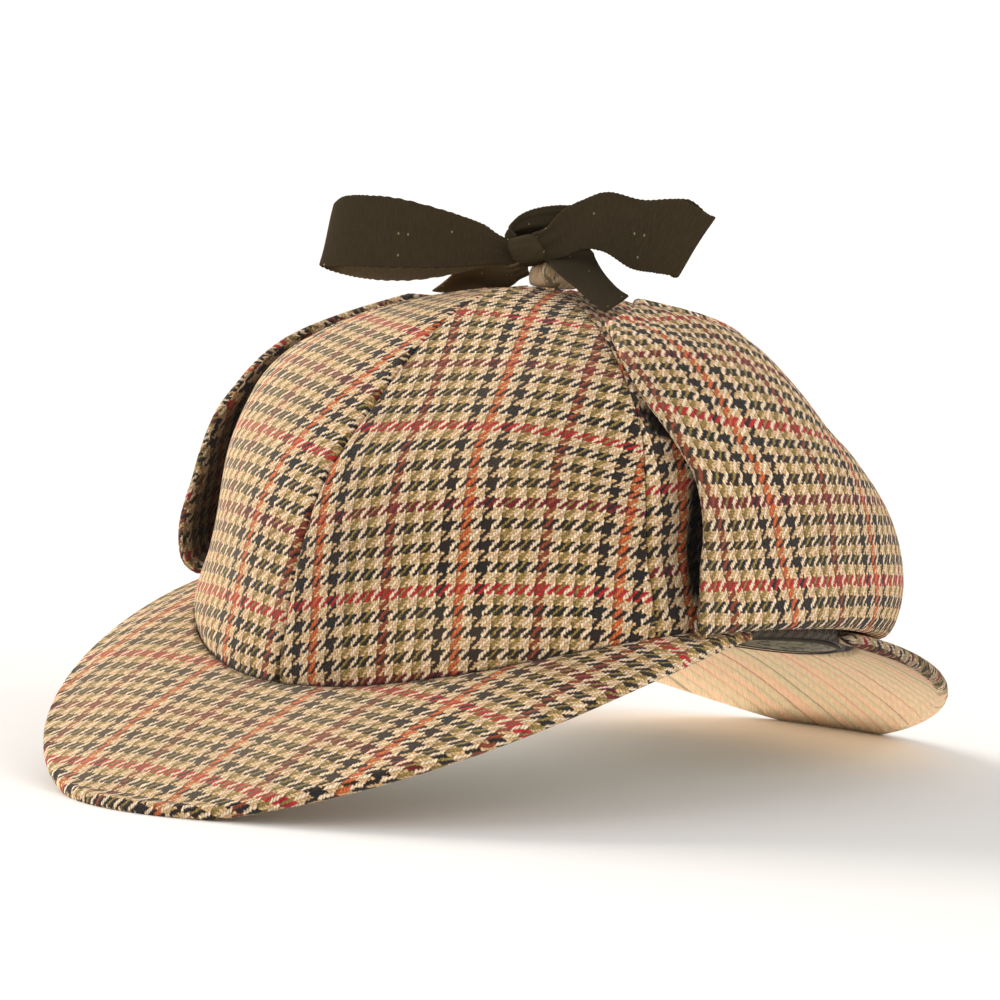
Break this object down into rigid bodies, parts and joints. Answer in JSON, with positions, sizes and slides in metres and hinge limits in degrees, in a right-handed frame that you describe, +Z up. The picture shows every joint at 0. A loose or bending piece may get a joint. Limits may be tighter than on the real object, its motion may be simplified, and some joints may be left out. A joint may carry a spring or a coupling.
{
  "type": "deerstalker hat",
  "caption": "Tweed deerstalker: a domed crown of gores with a peak at the front and the back, ear flaps folded up and tied over the top with a ribbon bow.",
  "frame": {"origin": "bottom centre of the bounding box; the hat stands on the lowest stretches of both peaks' rims at z = 0", "axes": "+X to the wearer's left, +Y to the back, +Z up; the front peak points to -Y"},
  "size_m": [0.2004, 0.3115, 0.1639],
  "materials": {
    "tweed": "gun-club houndstooth wool, matte",
    "satin": "grey-olive lining satin",
    "binding": "dark tape, matte",
    "ribbon": "brown-black plain-weave ribbon, matte"
  },
  "bodies": {
    "root": {"gore_front_left": "tweed", "gore_side_left": "tweed", "gore_back_left": "tweed", "gore_back_right": "tweed", "gore_side_right": "tweed", "gore_front_right": "tweed", "front_peak": "tweed", "back_peak": "tweed", "ear_flap_left": "tweed", "ear_flap_right": "tweed", "top_button": "tweed", "lining": "satin", "rim_binding": "binding", "bow_knot": "ribbon", "bow_loop_left": "ribbon", "bow_loop_right": "ribbon", "tie_strap_left": "ribbon", "tie_strap_right": "ribbon"}
  },
  "joints": []
}
